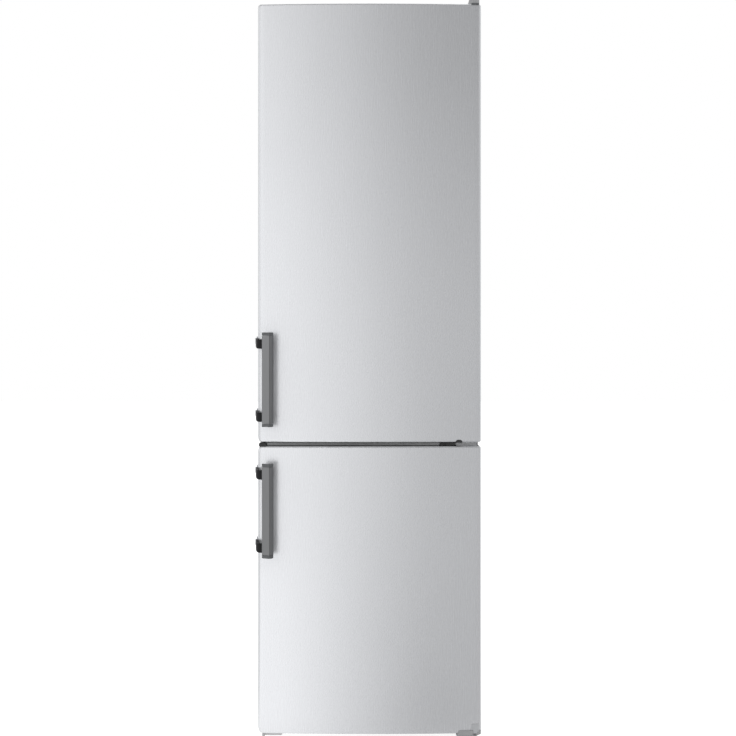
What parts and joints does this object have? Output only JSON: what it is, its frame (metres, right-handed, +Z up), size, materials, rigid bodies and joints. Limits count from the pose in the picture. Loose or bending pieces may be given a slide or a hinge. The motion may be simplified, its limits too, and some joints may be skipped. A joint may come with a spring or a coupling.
{
  "type": "bottom freezer refrigerator",
  "caption": "Tall free-standing refrigerator over a freezer, bowed steel doors hinged on the right, side-mounted bar handles, inner shelves and drawers.",
  "frame": {"origin": "on the floor under the middle of the overall box", "axes": "+Z up, the doors face -Y, +X to the viewer's right, hinges on the +X side"},
  "size_m": [0.608, 0.706, 2.012],
  "materials": {
    "door_steel": "satin silver sheet",
    "cabinet_paint": "silver grey paint",
    "zinc_steel": "zinc coated sheet",
    "bracket_steel": "grey painted steel",
    "screw_steel": "zinc plated",
    "handle_aluminium": "satin anodised",
    "handle_plastic": "dark grey moulding",
    "inner_plastic": "white moulding",
    "cap_plastic": "grey moulding",
    "clear_plastic": "clear moulding",
    "drawer_plastic": "frosted moulding",
    "shelf_glass": "toughened glass",
    "trim_plastic": "silver grey trim",
    "panel_plastic": "light grey moulding",
    "button_plastic": "grey buttons",
    "lamp_plastic": "milky lens",
    "gasket_rubber": "light grey magnetic seal",
    "foam": "rigid foam",
    "compressor_paint": "black enamel",
    "black_rubber": "black rubber",
    "condenser_paint": "black enamel",
    "black_plastic": "black moulding",
    "copper": "copper tube",
    "fin_aluminium": "plain fins",
    "foot_plastic": "dark foot"
  },
  "bodies": {
    "cabinet": {"cabinet_shell": "cabinet_paint", "back_panel": "zinc_steel", "bottom_plate": "zinc_steel", "centre_rail": "cabinet_paint", "fridge_liner": "inner_plastic", "freezer_liner": "inner_plastic", "insulation_foam": "foam", "top_hinge_bracket": "bracket_steel", "hinge_cover": "cap_plastic", "middle_hinge_bracket": "bracket_steel", "bottom_hinge_bracket": "bracket_steel", "left_foot_bracket": "bracket_steel", "hinge_screws": "screw_steel", "compressor_tray": "zinc_steel", "compressor": "compressor_paint", "compressor_grommets": "black_rubber", "drip_tray": "black_plastic", "condenser": "condenser_paint", "condenser_clips": "black_plastic", "refrigerant_tubes": "copper", "glass_shelves": "shelf_glass", "shelf_trims": "trim_plastic", "control_panel": "panel_plastic", "lamp_cover": "lamp_plastic", "evaporator_cover": "inner_plastic", "freezer_plates": "shelf_glass", "evaporator": "fin_aluminium", "fan_motor": "black_plastic"},
    "fridge_door": {"fridge_door_skin": "door_steel", "fridge_door_caps": "cap_plastic", "fridge_door_foam": "foam", "fridge_door_liner": "inner_plastic", "fridge_door_gasket": "gasket_rubber", "fridge_handle_mounts": "handle_plastic", "door_racks": "clear_plastic", "bottle_rack": "clear_plastic", "dairy_box": "clear_plastic"},
    "freezer_door": {"freezer_door_skin": "door_steel", "freezer_door_caps": "cap_plastic", "freezer_door_foam": "foam", "freezer_door_liner": "inner_plastic", "freezer_door_gasket": "gasket_rubber", "freezer_handle_mounts": "handle_plastic"},
    "fridge_handle": {"fridge_handle_arms": "handle_plastic", "fridge_handle_bar": "handle_aluminium"},
    "freezer_handle": {"freezer_handle_arms": "handle_plastic", "freezer_handle_bar": "handle_aluminium"},
    "dairy_lid": {"dairy_lid": "clear_plastic"},
    "crisper_left": {"crisper_left": "clear_plastic"},
    "crisper_right": {"crisper_right": "clear_plastic"},
    "freezer_drawer_bottom": {"freezer_drawer_bottom": "drawer_plastic"},
    "freezer_drawer_middle": {"freezer_drawer_middle": "drawer_plastic"},
    "freezer_drawer_top": {"freezer_drawer_top": "drawer_plastic"},
    "button_cold": {"button_cold": "button_plastic"},
    "button_quick": {"button_quick": "button_plastic"},
    "evaporator_fan": {"evaporator_fan": "black_plastic"},
    "rear_roller_left": {"rear_roller_left": "foot_plastic"},
    "rear_roller_right": {"rear_roller_right": "foot_plastic"},
    "front_foot_left": {"front_foot_left": "foot_plastic"},
    "front_foot_right": {"front_foot_right": "foot_plastic"}
  },
  "joints": [
    {"name": "fridge_door_hinge", "type": "hinge", "parent": "cabinet", "child": "fridge_door", "pos_m": [0.283, -0.268, 1.402], "axis": [0, 0, 1], "range_deg": [0, 115]},
    {"name": "freezer_door_hinge", "type": "hinge", "parent": "cabinet", "child": "freezer_door", "pos_m": [0.283, -0.268, 0.4175], "axis": [0, 0, 1], "range_deg": [0, 115]},
    {"name": "dairy_lid_hinge", "type": "hinge", "parent": "fridge_door", "child": "dairy_lid", "pos_m": [0, -0.228, 1.747], "axis": [1, 0, 0], "range_deg": [0, 80]},
    {"name": "evaporator_fan_spin", "type": "hinge", "parent": "cabinet", "child": "evaporator_fan", "pos_m": [0, 0.22, 0.699], "axis": [0, 1, 0], "continuous": true},
    {"name": "fridge_handle_lever", "type": "hinge", "parent": "fridge_door", "child": "fridge_handle", "pos_m": [-0.304, -0.288, 0.982], "axis": [0, 0, -1], "range_deg": [0, 8], "stiffness_Nm_per_rad": 20},
    {"name": "freezer_handle_lever", "type": "hinge", "parent": "freezer_door", "child": "freezer_handle", "pos_m": [-0.304, -0.288, 0.635], "axis": [0, 0, -1], "range_deg": [0, 8], "stiffness_Nm_per_rad": 20},
    {"name": "button_cold_press", "type": "slide", "parent": "cabinet", "child": "button_cold", "axis": [0, 1, 0], "range_m": [0, 0.001], "stiffness_N_per_m": 600},
    {"name": "button_quick_press", "type": "slide", "parent": "cabinet", "child": "button_quick", "axis": [0, 1, 0], "range_m": [0, 0.001], "stiffness_N_per_m": 600},
    {"name": "rear_roller_left_spin", "type": "hinge", "parent": "cabinet", "child": "rear_roller_left", "pos_m": [-0.268, 0.29, 0.01], "axis": [1, 0, 0], "continuous": true},
    {"name": "front_foot_left_screw", "type": "slide", "parent": "cabinet", "child": "front_foot_left", "axis": [0, 0, -1], "range_m": [0, 0.012]},
    {"name": "crisper_left_slide", "type": "slide", "parent": "cabinet", "child": "crisper_left", "axis": [0, -1, 0], "range_m": [0, 0.201]},
    {"name": "rear_roller_right_spin", "type": "hinge", "parent": "cabinet", "child": "rear_roller_right", "pos_m": [0.268, 0.29, 0.01], "axis": [1, 0, 0], "continuous": true},
    {"name": "front_foot_right_screw", "type": "slide", "parent": "cabinet", "child": "front_foot_right", "axis": [0, 0, -1], "range_m": [0, 0.012]},
    {"name": "crisper_right_slide", "type": "slide", "parent": "cabinet", "child": "crisper_right", "axis": [0, -1, 0], "range_m": [0, 0.201]},
    {"name": "freezer_drawer_bottom_slide", "type": "slide", "parent": "cabinet", "child": "freezer_drawer_bottom", "axis": [0, -1, 0], "range_m": [0, 0.191]},
    {"name": "freezer_drawer_middle_slide", "type": "slide", "parent": "cabinet", "child": "freezer_drawer_middle", "axis": [0, -1, 0], "range_m": [0, 0.191]},
    {"name": "freezer_drawer_top_slide", "type": "slide", "parent": "cabinet", "child": "freezer_drawer_top", "axis": [0, -1, 0], "range_m": [0, 0.191]}
  ],
  "couplings": [
    {"joint": "crisper_left_slide", "follows": "fridge_door_hinge", "m_per_rad": 0.1},
    {"joint": "crisper_right_slide", "follows": "fridge_door_hinge", "m_per_rad": 0.1},
    {"joint": "freezer_drawer_bottom_slide", "follows": "freezer_door_hinge", "m_per_rad": 0.095},
    {"joint": "freezer_drawer_middle_slide", "follows": "freezer_door_hinge", "m_per_rad": 0.095},
    {"joint": "freezer_drawer_top_slide", "follows": "freezer_door_hinge", "m_per_rad": 0.095}
  ]
}
